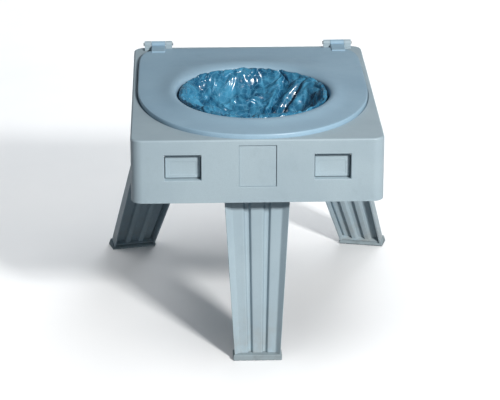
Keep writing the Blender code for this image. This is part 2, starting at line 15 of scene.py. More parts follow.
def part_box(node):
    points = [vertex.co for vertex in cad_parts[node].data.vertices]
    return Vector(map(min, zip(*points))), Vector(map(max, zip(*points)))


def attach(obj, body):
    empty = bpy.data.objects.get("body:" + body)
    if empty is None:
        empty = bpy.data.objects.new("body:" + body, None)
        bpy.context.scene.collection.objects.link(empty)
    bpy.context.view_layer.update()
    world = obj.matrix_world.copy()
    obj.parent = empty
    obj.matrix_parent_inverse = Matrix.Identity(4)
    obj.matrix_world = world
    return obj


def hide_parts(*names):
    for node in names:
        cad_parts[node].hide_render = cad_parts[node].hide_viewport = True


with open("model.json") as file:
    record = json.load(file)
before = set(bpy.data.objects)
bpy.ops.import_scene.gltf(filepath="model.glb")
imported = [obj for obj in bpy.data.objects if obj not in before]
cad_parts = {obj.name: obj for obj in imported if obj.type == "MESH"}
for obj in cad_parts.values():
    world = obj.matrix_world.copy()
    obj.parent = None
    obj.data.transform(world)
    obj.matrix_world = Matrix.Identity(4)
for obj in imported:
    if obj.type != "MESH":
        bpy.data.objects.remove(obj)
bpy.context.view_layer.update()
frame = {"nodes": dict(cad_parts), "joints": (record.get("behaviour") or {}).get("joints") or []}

MM = 0.001
MERGE = 0.002 * MM        # points closer than this become one

# --- sizes read from the frame ---
CASE_LOW, CASE_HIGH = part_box("case_shell")
SEAT_LOW, SEAT_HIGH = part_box("seat_plate")
RING_LOW, RING_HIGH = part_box("net_ring")
BADGE_LOW, BADGE_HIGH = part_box("front_badge_plate")
CASE_HALF_W = CASE_HIGH.x
CASE_HALF_D = (CASE_HIGH.y - CASE_LOW.y) / 2
CASE_Y = (CASE_HIGH.y + CASE_LOW.y) / 2
CASE_TOP, CASE_BOTTOM = CASE_HIGH.z, CASE_LOW.z
FRONT_Y = CASE_LOW.y
RECESS_FLOOR = CASE_TOP - 5 * MM
WALL = 4 * MM
DECK_UNDER = RECESS_FLOOR - WALL
RING_REACH = 20 * MM      # from the opening to the outside of the net's ring
OPEN_Y = (RING_LOW.y + RING_HIGH.y) / 2
OPEN_A = RING_HIGH.x - RING_REACH
OPEN_B = RING_HIGH.y - OPEN_Y - RING_REACH
SEAT_A = SEAT_HIGH.x
SEAT_FRONT = CASE_Y - SEAT_LOW.y
SEAT_BACK = 214.8 * MM    # middle of the case to the seat's square back
FRONT_POWER, BACK_POWER = 2.2, 9.0    # how square the seat's outline is, ahead and behind
HOLE_GROW = 9 * MM        # the deck's hole, beyond the seat's opening
JOINTS = {joint["name"]: joint for joint in frame["joints"]}
HINGE = Vector(JOINTS["seat_hinge"]["pos_m"])
HINGE_X = 150 * MM        # seat hinges, from the middle
GRIP_AXIS = Vector(JOINTS["right_grip_swing"]["pos_m"])
CORNER_R = 18 * MM        # case corners, seen from above
EDGE_R = 3 * MM           # case top edge


# --- mesh helpers ---
def as_object(bm, name, skin=None, smooth=35, keep_facing=False):
    """A mesh object from a bmesh, with edges kept sharp above an angle in degrees, or 0 for all."""
    if not keep_facing:
        bmesh.ops.recalc_face_normals(bm, faces=bm.faces)
    mesh = bpy.data.meshes.new(name)
    bm.to_mesh(mesh)
    bm.free()
    made = bpy.data.objects.new(name, mesh)
    bpy.context.scene.collection.objects.link(made)
    if skin is not None:
        mesh.materials.append(skin)
    if smooth:
        mesh.shade_smooth()
        mesh.set_sharp_from_angle(angle=radians(smooth))
    return made


def settle(target):
    """Apply every modifier of an object to its mesh."""
    bpy.context.view_layer.update()
    graph = bpy.context.evaluated_depsgraph_get()
    mesh = bpy.data.meshes.new_from_object(target.evaluated_get(graph))
    old = target.data
    target.modifiers.clear()
    target.data = mesh
    bpy.data.meshes.remove(old)
    return target


def clean(target):
    """Merge coincident points, and drop folded slivers that join a surface along one edge only."""
    bm = bmesh.new()
    bm.from_mesh(target.data)
    bmesh.ops.remove_doubles(bm, verts=bm.verts, dist=MERGE)
    bmesh.ops.dissolve_degenerate(bm, edges=bm.edges, dist=MERGE)
    doubled = {}
    for face in bm.faces:
        doubled.setdefault(frozenset(face.verts), []).append(face)
    folded = [face for faces in doubled.values() if len(faces) > 1 for face in faces]
    folded += [face for face in bm.faces
               if sum(edge.is_boundary for edge in face.edges) > len(face.edges) - 2]
    bmesh.ops.delete(bm, geom=list(set(folded)), context="FACES")
    bm.to_mesh(target.data)
    bm.free()
    return target


def combine(target, tools, operation):
    """Cut or join with helper solids, which are then removed."""
    for tool in tools:
        step = target.modifiers.new("step", "BOOLEAN")
        step.operation = operation
        step.solver = "EXACT"
        step.object = tool
    clean(settle(target))
    for tool in tools:
        bpy.data.objects.remove(tool, do_unlink=True)
    return target


def cut(target, *tools):
    return combine(target, tools, "DIFFERENCE")


def join(target, *tools):
    return combine(target, tools, "UNION")


def flat_faces(target):
    """Split every face of more than four corners, which an export would split less cleanly."""
    bm = bmesh.new()
    bm.from_mesh(target.data)
    bmesh.ops.triangulate(bm, faces=[face for face in bm.faces if len(face.verts) > 4])
    bm.to_mesh(target.data)
    bm.free()
    return clean(target)


def soften(target, width, segments=2, angle=40):
    """Round the hard edges and settle them into the mesh."""
    step = target.modifiers.new("edges", "BEVEL")
    step.width = width
    step.segments = segments
    step.limit_method = "ANGLE"
    step.angle_limit = radians(angle)
    step.use_clamp_overlap = True
    return clean(settle(target))


def shade(target, skin, angle=35, weighted=True):
    """One material, and smooth shading that keeps flat faces flat."""
    mesh = target.data
    mesh.materials.clear()
    mesh.materials.append(skin)
    mesh.polygons.foreach_set("material_index", [0] * len(mesh.polygons))
    mesh.shade_smooth()
    mesh.set_sharp_from_angle(angle=radians(angle))
    if weighted:
        step = target.modifiers.new("flats", "WEIGHTED_NORMAL")
        step.keep_sharp = True
        step.weight = 60


def box(name, low, high, edge=0.0, segments=2):
    """A block between two corners, with rounded edges if asked."""
    bm = bmesh.new()
    bmesh.ops.create_cube(bm, size=1.0)
    size = [h - l for l, h in zip(low, high)]
    middle = [(h + l) / 2 for l, h in zip(low, high)]
    bmesh.ops.scale(bm, vec=size, verts=bm.verts)
    bmesh.ops.translate(bm, vec=middle, verts=bm.verts)
    if edge:
        rim = [e for e in bm.edges if e.calc_face_angle(0.0) > radians(50)]
        bmesh.ops.bevel(bm, geom=rim, offset=edge, segments=segments, profile=0.5, affect="EDGES")
    return as_object(bm, name)


def rod(name, radius, start, end, segments=32, edge=0.0):
    """A round bar between two points, with rounded ends if asked."""
    start, end = Vector(start), Vector(end)
    along = end - start
    bm = bmesh.new()
    bmesh.ops.create_cone(bm, cap_ends=True, segments=segments, radius1=radius, radius2=radius,
                          depth=along.length)
    if edge:
        rim = [e for e in bm.edges if e.calc_face_angle(0.0) > radians(60)]
        bmesh.ops.bevel(bm, geom=rim, offset=edge, segments=3, profile=0.5, affect="EDGES")
    turn = Vector((0, 0, 1)).rotation_difference(along).to_matrix().to_4x4()
    bmesh.ops.transform(bm, matrix=Matrix.Translation((start + end) / 2) @ turn, verts=bm.verts)
    return as_object(bm, name)


def skin_rings(rings, closed=False, capped=False):
    """Faces between neighbouring rings of points; closed joins the last ring to the first."""
    bm = bmesh.new()
    made = [[bm.verts.new(point) for point in ring] for ring in rings]
    count = len(made[0])
    pairs = list(zip(made, made[1:]))
    if closed:
        pairs.append((made[-1], made[0]))
    for first, second in pairs:
        for i in range(count):
            bm.faces.new((first[i], first[(i + 1) % count], second[(i + 1) % count], second[i]))
    if capped:
        bm.faces.new(made[-1])
        bm.faces.new(made[0])
    return bm


def fit(piece, body, node):
    """Hang a finished piece on its body, and let it stand for its CAD node."""
    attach(piece, body)
    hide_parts(node)


def finish(piece, name, skin, body, node):
    piece.name = name
    shade(piece, skin)
    fit(piece, body, node)


# --- outlines, all as distances from the middle of the opening ---
FAR, HALVINGS = 0.5, 34    # where a search along a ray starts, and how often it is halved
CASE_RAYS, CORNER_RAYS, RAY_GAP = 144, 11, 0.35    # the smallest gap is in degrees


def ray_reach(inside, turn):
    """How far a ray from the opening's middle stays inside an outline."""
    near, far = 0.0, FAR
    for _ in range(HALVINGS):
        middle = (near + far) / 2
        if inside(middle * cos(turn), OPEN_Y + middle * sin(turn)):
            near = middle
        else:
            far = middle
    return near


def case_reach(turn, inset):
    """The case's outline, a rectangle with round corners."""
    half_w, half_d, radius = CASE_HALF_W - inset, CASE_HALF_D - inset, max(CORNER_R - inset, MM)

    def inside(x, y):
        over_x, over_y = abs(x) - half_w + radius, abs(y - CASE_Y) - half_d + radius
        return hypot(max(over_x, 0), max(over_y, 0)) + min(max(over_x, over_y), 0) < radius

    return ray_reach(inside, turn)


def seat_reach(turn, grow):
    """The seat's outline, round in front and square behind."""
    def inside(x, y):
        y -= CASE_Y
        power = FRONT_POWER if y < 0 else BACK_POWER
        half_depth = (SEAT_FRONT if y < 0 else SEAT_BACK) + grow
        return abs(x / (SEAT_A + grow)) ** power + abs(y / half_depth) ** power < 1.0

    return ray_reach(inside, turn)


def oval_reach(turn, grow):
    a, b = OPEN_A + grow, OPEN_B + grow
    return 1.0 / sqrt((cos(turn) / a) ** 2 + (sin(turn) / b) ** 2)


def circle(count):
    """Evenly spread turns."""
    return [2 * pi * i / count for i in range(count)]


def ring_at(reaches, turns, z):
    return [(r * cos(t), OPEN_Y + r * sin(t), z) for r, t in zip(reaches, turns)]


def case_turns():
    """Evenly spread rays, with extra ones through each corner of the case."""
    turns = circle(CASE_RAYS)
    for side_x in (-1, 1):
        for side_y in (-1, 1):
            middle_x = side_x * (CASE_HALF_W - CORNER_R)
            middle_y = CASE_Y + side_y * (CASE_HALF_D - CORNER_R) - OPEN_Y
            for step in range(CORNER_RAYS):
                corner = radians(90 / (CORNER_RAYS - 1) * step)
                x = middle_x + side_x * CORNER_R * cos(corner)
                y = middle_y + side_y * CORNER_R * sin(corner)
                turns.append(atan2(y, x) % (2 * pi))
    turns.sort()
    kept = [turns[0]]
    for turn in turns[1:]:
        if turn - kept[-1] > radians(RAY_GAP):
            kept.append(turn)
    return kept


# --- materials ---
class Paint:
    """A small helper that wires up one Principled material."""

    def __init__(self, name):
        self.material = bpy.data.materials.new(name)
        self.material.use_nodes = True
        self.tree = self.material.node_tree
        self.shader = self.tree.nodes["Principled BSDF"]
        place = self.tree.nodes.new("ShaderNodeTexCoord")
        self.place = place.outputs["Object"]

    def link(self, source, target):
        self.tree.links.new(source, target)

    def stretched(self, scale):
        node = self.tree.nodes.new("ShaderNodeMapping")
        node.inputs["Scale"].default_value = scale
        self.link(self.place, node.inputs["Vector"])
        return node.outputs["Vector"]

    def noise(self, scale, detail=2.0, rough=0.5, warp=0.0, place=None):
        node = self.tree.nodes.new("ShaderNodeTexNoise")
        node.inputs["Scale"].default_value = scale
        node.inputs["Detail"].default_value = detail
        node.inputs["Roughness"].default_value = rough
        node.inputs["Distortion"].default_value = warp
        self.link(place or self.place, node.inputs["Vector"])
        return node.outputs["Fac"]

    def cells(self, scale, feature="F1", place=None):
        node = self.tree.nodes.new("ShaderNodeTexVoronoi")
        node.feature = feature
        node.inputs["Scale"].default_value = scale
        self.link(place or self.place, node.inputs["Vector"])
        return node.outputs["Distance"]

    def spread(self, value, low, high, out_low=0.0, out_high=1.0):
        node = self.tree.nodes.new("ShaderNodeMapRange")
        node.inputs["From Min"].default_value = low
        node.inputs["From Max"].default_value = high
        node.inputs["To Min"].default_value = out_low
        node.inputs["To Max"].default_value = out_high
        self.link(value, node.inputs["Value"])
        return node.outputs["Result"]

    def band(self, start, end):
        """1 at one height and 0 at the other."""
        node = self.tree.nodes.new("ShaderNodeSeparateXYZ")
        self.link(self.place, node.inputs["Vector"])
        return self.spread(node.outputs["Z"], start, end, 1.0, 0.0)

    def sums(self, first, second, operation="ADD"):
        node = self.tree.nodes.new("ShaderNodeMath")
        node.operation = operation
        for socket, value in zip(node.inputs, (first, second)):
            if isinstance(value, (int, float)):
                socket.default_value = value
            else:
                self.link(value, socket)
        return node.outputs["Value"]

    def mixed(self, amount, first, second):
        node = self.tree.nodes.new("ShaderNodeMix")
        node.data_type = "RGBA"
        sockets = [s for s in node.inputs if s.type == "RGBA"]
        for socket, value in zip(sockets, (first, second)):
            if isinstance(value, tuple):
                socket.default_value = (*value, 1.0)
            else:
                self.link(value, socket)
        factor = node.inputs["Factor"]
        if isinstance(amount, (int, float)):
            factor.default_value = amount
        else:
            self.link(amount, factor)
        return next(s for s in node.outputs if s.type == "RGBA")

    def bump(self, *layers):
        """Bump layers, each a height, a strength and a depth in metres."""
        normal = None
        for height, strength, depth in layers:
            node = self.tree.nodes.new("ShaderNodeBump")
            node.inputs["Strength"].default_value = strength
            node.inputs["Distance"].default_value = depth
            self.link(height, node.inputs["Height"])
            if normal is not None:
                self.link(normal, node.inputs["Normal"])
            normal = node.outputs["Normal"]
        self.link(normal, self.shader.inputs["Normal"])

    def set(self, **values):
        for name, value in values.items():
            self.shader.inputs[name.replace("_", " ")].default_value = value


def moulded_plastic(name, pale, deep, rough, grain=1.0, rub=(), dust=None):
    """Injection-moulded ABS: spark grain, faint flow marks, scuffs, and rubbed and dusty heights.

    Each rub, and dust, is a pair of heights: where it is strongest, and where it has faded out.
    """
    paint = Paint(name)
    flow = paint.noise(7, 3, 0.55, 0.6)
    speck = paint.noise(900, 2, 0.6)
    tone = paint.mixed(paint.spread(flow, 0.35, 0.65), pale, deep)
    tone = paint.mixed(paint.spread(speck, 0.42, 0.72, 0.0, 0.35), tone, tuple(0.86 * c for c in deep))
    scratch_a = paint.noise(60, 2, 0.6, 0.3, paint.stretched((1.0, 14.0, 14.0)))
    scratch_b = paint.noise(70, 2, 0.6, 0.3, paint.stretched((12.0, 1.2, 9.0)))
    patch = paint.spread(paint.noise(16, 3, 0.6), 0.52, 0.70)
    scuff = paint.sums(paint.spread(scratch_a, 0.68, 0.78), paint.spread(scratch_b, 0.70, 0.80), "MAXIMUM")
    scuff = paint.sums(scuff, patch, "MULTIPLY")
    for strongest, faded in rub:
        worn = paint.spread(paint.noise(110, 4, 0.7), 0.50, 0.62)
        worn = paint.sums(worn, paint.band(strongest, faded), "MULTIPLY")
        scuff = paint.sums(scuff, worn, "MAXIMUM")
    tone = paint.mixed(paint.sums(scuff, 0.45, "MULTIPLY"), tone, tuple(min(1.0, 1.22 * c) for c in pale))
    grime = paint.spread(paint.noise(34, 5, 0.65), 0.56, 0.78, 0.0, 0.22)
    if dust:
        spots = paint.spread(paint.noise(48, 5, 0.7), 0.38, 0.66, 0.0, 0.55)
        soiled = paint.sums(spots, paint.band(*dust), "MULTIPLY")
        tone = paint.mixed(soiled, tone, (0.36, 0.35, 0.32))
    tone = paint.mixed(grime, tone, tuple(0.72 * c for c in deep))
    paint.link(tone, paint.shader.inputs["Base Color"])
    shine = paint.spread(paint.noise(45, 4, 0.6), 0.3, 0.7, rough - 0.05, rough + 0.09)
    paint.link(paint.sums(shine, paint.sums(scuff, 0.12, "MULTIPLY")), paint.shader.inputs["Roughness"])
    pebble = paint.cells(1500)
    paint.bump((paint.noise(14, 2, 0.5), 0.10, 3 * MM), (pebble, 0.16 * grain, 0.12 * MM),
               (scuff, 0.25, 0.06 * MM))
    paint.set(Specular_IOR_Level=0.45)
    return paint.material


def zinc_steel(name):
    """Bright zinc-plated steel with drawn lines and small stains."""
    paint = Paint(name)
    lines = paint.noise(500, 3, 0.6, 0.0, paint.stretched((0.08, 1.0, 1.0)))
    stain = paint.noise(180, 4, 0.6)
    tone = paint.mixed(paint.spread(stain, 0.45, 0.75), (0.62, 0.63, 0.64), (0.42, 0.42, 0.41))
    paint.link(tone, paint.shader.inputs["Base Color"])
    paint.link(paint.spread(stain, 0.3, 0.7, 0.24, 0.42), paint.shader.inputs["Roughness"])
    paint.bump((lines, 0.2, 0.05 * MM))
    paint.set(Metallic=1.0)
    return paint.material


def foot_rubber(name, pale, deep):
    """Matte rubber, dusty and a little worn where it meets the ground."""
    paint = Paint(name)
    dust = paint.spread(paint.noise(60, 5, 0.65), 0.42, 0.72)
    tone = paint.mixed(dust, pale, deep)
    paint.link(tone, paint.shader.inputs["Base Color"])
    paint.link(paint.spread(paint.noise(90, 3, 0.5), 0.3, 0.7, 0.62, 0.85), paint.shader.inputs["Roughness"])
    paint.bump((paint.noise(700, 3, 0.6), 0.3, 0.15 * MM))
    paint.set(Specular_IOR_Level=0.35)
    return paint.material


def net_yarn(name):
    """Black nylon yarn with a fine twist."""
    paint = Paint(name)
    twist = paint.noise(2600, 2, 0.5, 0.0, paint.stretched((1.0, 1.0, 2.4)))
    tone = paint.mixed(paint.spread(twist, 0.35, 0.65), (0.018, 0.02, 0.023), (0.06, 0.065, 0.07))
    paint.link(tone, paint.shader.inputs["Base Color"])
    paint.link(paint.spread(twist, 0.3, 0.7, 0.55, 0.8), paint.shader.inputs["Roughness"])
    paint.bump((twist, 0.5, 0.15 * MM))
    paint.set(Sheen_Weight=0.25, Sheen_Roughness=0.4)
    return paint.material


def liner_film(name):
    """Thin glossy blue polythene with fine creases."""
    paint = Paint(name)
    cloud = paint.noise(30, 4, 0.6, 0.8, paint.stretched((1.6, 0.6, 1.0)))
    crease = paint.cells(90, "DISTANCE_TO_EDGE", paint.stretched((1.0, 0.6, 1.2)))
    fine = paint.cells(330, "DISTANCE_TO_EDGE", paint.stretched((0.8, 1.1, 1.0)))
    tone = paint.mixed(paint.spread(cloud, 0.38, 0.62), (0.006, 0.085, 0.180), (0.060, 0.285, 0.460))
    whitened = paint.spread(crease, 0.0, 0.05, 0.45, 0.0)
    tone = paint.mixed(whitened, tone, (0.17, 0.46, 0.66))
    paint.link(tone, paint.shader.inputs["Base Color"])
    paint.link(paint.spread(paint.noise(140, 3, 0.5), 0.3, 0.7, 0.16, 0.34), paint.shader.inputs["Roughness"])
    paint.bump((crease, 0.30, 1.0 * MM), (fine, 0.22, 0.4 * MM), (paint.noise(40, 3, 0.6), 0.25, 3 * MM))
    paint.set(Specular_IOR_Level=0.6, Coat_Weight=0.25, Coat_Roughness=0.12)
    return paint.material


SHELL = moulded_plastic("shell_abs", (0.422, 0.522, 0.572), (0.372, 0.468, 0.522), 0.42,
                        rub=((CASE_BOTTOM, CASE_BOTTOM + 5 * MM),))
# The seat is the case's grey plastic. Its bluer, less red tone is painted blue-grey overhead light and shade
# on its top.
SEAT_SKY_TINTED = moulded_plastic("seat_abs_painted_skylight", (0.348, 0.508, 0.625), (0.305, 0.458, 0.578), 0.33, 0.6)
LEG = moulded_plastic("leg_abs", (0.430, 0.532, 0.585), (0.378, 0.478, 0.535), 0.42,
                      rub=((0.0, 30 * MM),), dust=(0.0, 90 * MM))
FITTING = moulded_plastic("fitting_nylon", (0.330, 0.400, 0.440), (0.285, 0.350, 0.390), 0.48)
STEEL = zinc_steel("zinc_steel")
RUBBER = foot_rubber("foot_rubber", (0.330, 0.400, 0.430), (0.260, 0.310, 0.330))
YARN = net_yarn("net_yarn")
FILM = liner_film("liner_film")


# --- case ---
def case_body():
    """The one-piece moulding, lofted from inside the skirt, round its edge and over the deck."""
    turns = case_turns()

    def outer(inset, z):
        return ring_at([case_reach(t, inset * MM) for t in turns], turns, z)

    def let_in(grow, z):
        return ring_at([seat_reach(t, grow * MM) for t in turns], turns, z)

    def hole(grow, z):
        return ring_at([oval_reach(t, HOLE_GROW + grow * MM) for t in turns], turns, z)

    low, top, floor, under = CASE_BOTTOM, CASE_TOP, RECESS_FLOOR, DECK_UNDER
    rings = [outer(4.0, low + 0.5 * MM), outer(3.5, low), outer(0.9, low), outer(0.25, low + 0.25 * MM),
             outer(0.0, low + 0.9 * MM), outer(0.0, low + 30 * MM), outer(0.0, top - 30 * MM)]
    for step in range(7):
        turn = radians(15 * step)
        rings.append(outer(EDGE_R / MM * (1 - cos(turn)), top - EDGE_R + EDGE_R * sin(turn)))
    rings += [let_in(2.0, top), let_in(1.45, top - 0.2 * MM), let_in(1.2, top - 0.8 * MM),
              let_in(1.2, floor + 0.8 * MM), let_in(0.9, floor + 0.2 * MM), let_in(0.2, floor),
              hole(1.0, floor), hole(0.3, floor - 0.3 * MM), hole(0.0, floor - 1.0 * MM),
              hole(0.0, under + 0.5 * MM), hole(0.5, under),
              outer(8.0, under), outer(5.2, under - 0.8 * MM), outer(4.2, under - 2.4 * MM),
              outer(4.0, under - 5 * MM), outer(4.0, under - 40 * MM)]
    return as_object(skin_rings(rings, closed=True), "case_body")


POCKET_HALF = 27.5 * MM
POCKET_LOW, POCKET_HIGH = 296 * MM, 336 * MM
POCKET_DEPTH = 17.5 * MM
POCKET_SLEEVE, POCKET_BACK = 5 * MM, 3 * MM    # plastic beside a pocket, and around it elsewhere
POCKET_ROUND, POCKET_MOUTH = 1.2 * MM, 1.0 * MM
BADGE_DEPTH, BADGE_GAP, BADGE_PAD = 4.5 * MM, 0.3 * MM, 6 * MM
BADGE_ROUND = 0.6 * MM
OUTSIDE = 6 * MM          # how far a cutter stands out of the front
RIB_TURNS = (0, 25, 80, 100, 155, 180, 205, 237, 303, 335)
RIB_HALF, RIB_HIGH, RIB_START = 0.9 * MM, 4 * MM, 23 * MM


def deck_ribs():
    """Thin ribs under the deck, from the net's ring out to the walls."""
    ribs = []
    for degrees in RIB_TURNS:
        turn = radians(degrees)
        near = oval_reach(turn, RIB_START)
        far = case_reach(turn, WALL - MM)
        rib = box("rib", (near, -RIB_HALF, DECK_UNDER - RIB_HIGH), (far, RIB_HALF, DECK_UNDER + MM))
        rib.data.transform(Matrix.Translation((0, OPEN_Y, 0)) @ Matrix.Rotation(turn, 4, "Z"))
        ribs.append(rib)
    return ribs


def front_features(case):
    """Pockets for the grips, the shallow square in the middle, and ribs under the deck."""
    adds, cuts = [], []
    sleeve = POCKET_HALF + POCKET_SLEEVE
    for side in (-1, 1):
        x = side * abs(GRIP_AXIS.x)
        adds.append(box("back", (x - sleeve, FRONT_Y + 2 * MM, POCKET_LOW - POCKET_BACK),
                        (x + sleeve, FRONT_Y + POCKET_DEPTH + POCKET_BACK, POCKET_HIGH + POCKET_BACK)))
        cuts.append(box("pocket", (x - POCKET_HALF, FRONT_Y - OUTSIDE, POCKET_LOW),
                        (x + POCKET_HALF, FRONT_Y + POCKET_DEPTH, POCKET_HIGH), POCKET_ROUND, 3))
        cuts.append(chamfer_cut(x, POCKET_HALF, POCKET_LOW, POCKET_HIGH, POCKET_MOUTH))
    half = (BADGE_HIGH.x - BADGE_LOW.x) / 2 + BADGE_GAP
    low, high = BADGE_LOW.z - BADGE_GAP, BADGE_HIGH.z + BADGE_GAP
    adds.append(box("pad", (-half - BADGE_PAD, FRONT_Y + 2 * MM, low - BADGE_PAD),
                    (half + BADGE_PAD, FRONT_Y + 7 * MM, DECK_UNDER + 2 * MM)))
    cuts.append(box("square", (-half, FRONT_Y - OUTSIDE, low), (half, FRONT_Y + BADGE_DEPTH, high),
                    BADGE_ROUND, 2))
    cuts.append(chamfer_cut(0.0, half, low, high, BADGE_ROUND))
    join(case, *adds, *deck_ribs())
    return cut(case, *cuts)


def chamfer_cut(x, half, low, high, size):
    """A shallow tapered cutter that takes the sharp edge off a pocket's mouth."""
    rings = []
    for grow, y in ((size + 0.6 * MM, FRONT_Y - 0.6 * MM), (-0.2 * MM, FRONT_Y + size + 0.2 * MM)):
        rings.append([(x - half - grow, y, low - grow), (x + half + grow, y, low - grow),
                      (x + half + grow, y, high + grow), (x - half - grow, y, high + grow)])
    return as_object(skin_rings(rings, capped=True), "mouth")


def build_case():
    case = front_features(case_body())
    finish(case, "case_moulding", SHELL, "case", "case_shell")


def build_badge():
    plate = box("front_plate", BADGE_LOW, BADGE_HIGH, 0.4 * MM, 2)
    shade(plate, SHELL)
    fit(plate, "case", "front_badge_plate")


# --- seat ---
# Share of the way in from the outline, and height above the case's top in millimetres.
SEAT_SECTION = [(0.0, -4.2), (0.0, 3.4), (0.0035, 4.9), (0.013, 6.0), (0.030, 6.5), (0.20, 6.8), (0.36, 7.1),
                (0.48, 7.6), (0.58, 8.4), (0.66, 9.4), (0.73, 10.4), (0.79, 11.2), (0.84, 11.5), (0.89, 11.3),
                (0.935, 10.4), (0.97, 8.9), (0.99, 7.2), (1.0, 4.8), (1.0, -5.0), (1.0, -12.5)]
SEAT_RAYS = 176
ARM_HALF, ARM_REACH = 11.5 * MM, 39 * MM
KNUCKLE_R, HINGE_PIN_R, HINGE_BORE_R = 5 * MM, 2.5 * MM, 2.8 * MM
HINGE_PLATE_T, HINGE_LUG, HINGE_PIN_END = 2.9 * MM, 11 * MM, 2 * MM


def build_seat():
    turns = circle(SEAT_RAYS)
    outline = [seat_reach(t, 0.0) for t in turns]
    opening = [oval_reach(t, 0.0) for t in turns]
    rings = []
    for inward, z in SEAT_SECTION:
        reaches = [o + (i - o) * inward for o, i in zip(outline, opening)]
        rings.append(ring_at(reaches, turns, CASE_TOP + z * MM))
    seat = as_object(skin_rings(rings), "seat_moulding")
    wall = seat.modifiers.new("wall", "SOLIDIFY")
    wall.thickness = 3 * MM
    wall.offset = -1
    wall.use_even_offset = True
    settle(seat)
    extras = []
    for side in (-1, 1):
        x = side * HINGE_X
        extras.append(box("arm", (x - ARM_HALF, HINGE.y - ARM_REACH, CASE_TOP + 4.2 * MM),
                          (x + ARM_HALF, HINGE.y, HINGE.z - 1 * MM), 1.2 * MM, 3))
        extras.append(rod("knuckle", KNUCKLE_R, (x - ARM_HALF, HINGE.y, HINGE.z),
                          (x + ARM_HALF, HINGE.y, HINGE.z), 32, 0.5 * MM))
    join(seat, *extras)
    cut(seat, *[rod("bore", HINGE_BORE_R, (side * HINGE_X - 20 * MM, HINGE.y, HINGE.z),
                    (side * HINGE_X + 20 * MM, HINGE.y, HINGE.z)) for side in (-1, 1)])
    # The seat's material carries painted blue-grey overhead light in its tint.
    shade(seat, SEAT_SKY_TINTED, 40)
    fit(seat, "seat", "seat_plate")
    for number in range(1, 5):
        low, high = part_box(f"seat_bumper_{number}")
        middle = (low + high) / 2
        pad = rod(f"bumper_pad_{number}", (high.x - low.x) / 2, (middle.x, middle.y, low.z),
                  (middle.x, middle.y, high.z), 32, 1.0 * MM)
        shade(pad, RUBBER)
        fit(pad, "seat", f"seat_bumper_{number}")


def build_seat_hinges():
    for side, word in ((-1, "left"), (1, "right")):
        x = side * HINGE_X
        low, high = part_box(f"seat_hinge_block_{word}")
        half = (high.x - low.x) / 2
        block = box("block", low, (high.x, high.y, low.z + HINGE_PLATE_T), 0.9 * MM, 3)
        extras = []
        for end in (-1, 1):
            near, far = sorted((x + end * (half - HINGE_LUG), x + end * half))
            extras.append(box("lug", (near, HINGE.y - KNUCKLE_R, low.z + 1 * MM),
                              (far, HINGE.y + KNUCKLE_R, HINGE.z)))
            extras.append(rod("eye", KNUCKLE_R, (near, HINGE.y, HINGE.z), (far, HINGE.y, HINGE.z)))
        join(block, *extras)
        soften(block, 0.5 * MM, 2, 50)
        finish(block, f"hinge_block_{word}", SHELL, "case", f"seat_hinge_block_{word}")
        pin = rod(f"hinge_pin_{word}", HINGE_PIN_R, (x - half - HINGE_PIN_END, HINGE.y, HINGE.z),
                  (x + half + HINGE_PIN_END, HINGE.y, HINGE.z), 24, 0.7 * MM)
        shade(pin, STEEL)
        fit(pin, "case", f"seat_hinge_pin_{word}")


# --- legs ---
LEG_DEPTH = 24 * MM
LEG_HALF_TOP, LEG_HALF_FOOT = 50 * MM, 35 * MM
LEG_SHEET = 2.8 * MM
LEG_MIDDLE_HALF = 42 * MM
LEG_ROWS = 9
FOLD_R, FOLD_INSIDE_R = 1.8 * MM, 1.2 * MM
BOARD_START = 21 * MM     # below the pin, where the ribbed channel begins
PAD_T = 8 * MM
BARREL_R, BARREL_HALF = 12 * MM, 43 * MM
PIN_BORE_R = 4.3 * MM
NECK_HALF = 10 * MM
WEB_T, WEB_TOP = 2 * MM, 20.5 * MM
# Half of the section: share of the half width, and depth behind the face in millimetres.
LEG_PROFILE = [(1.0, 24.0), (1.0, 0.0), (0.79, 9.0), (0.43, 9.0), (0.38, 15.0), (0.25, 15.0), (0.20, 9.0)]


class LegPlace:
    """A leg's frame, read from its joint: X along the pin, -Z down the leg."""

    def __init__(self, name):
        joint = JOINTS[f"{name}_leg_fold"]
        self.name = name
        self.outward = -1 if name == "front" else 1
        self.pin = Vector(joint["pos_m"])
        axis = Vector(joint["axis"]) * -self.outward
        self.turn = atan2(axis.y, axis.x)
        self.lean = self.outward * (radians(joint["range_deg"][1]) - pi / 2)
        self.slant = -tan(self.turn)
        self.upright = Matrix.Translation(self.pin) @ Matrix.Rotation(self.turn, 4, "Z")
        self.place = self.upright @ Matrix.Rotation(self.lean, 4, "X")
        self.body = f"{name}_leg_body"
        self.reach = self.pin.z / cos(self.lean)
        self.stop = self.reach - PAD_T

    def ground(self, y):
        return (self.pin.z + y * sin(self.lean)) / cos(self.lean)

    def half(self, down):
        share = (down - BOARD_START) / (self.reach - BOARD_START)
        return LEG_HALF_TOP + (LEG_HALF_FOOT - LEG_HALF_TOP) * share

    def point(self, across, inward, down):
        y = self.outward * (LEG_DEPTH / 2 - inward)
        return Vector((across * self.half(down) + self.slant * down, y, -down))


LEGS = [LegPlace("front"), LegPlace("rear_left"), LegPlace("rear_right")]


def rounded_line(points, radius, steps=3):
    """A bent line with each inner corner turned into a short arc."""
    made = [points[0]]
    for before, here, after in zip(points, points[1:], points[2:]):
        a, b = (before - here), (after - here)
        room = min(radius, 0.45 * a.length, 0.45 * b.length)
        start, end = here + a.normalized() * room, here + b.normalized() * room
        for step in range(steps + 1):
            t = step / steps
            made.append(start * (1 - t) ** 2 + here * 2 * t * (1 - t) + end * t ** 2)
    made.append(points[-1])
    return made


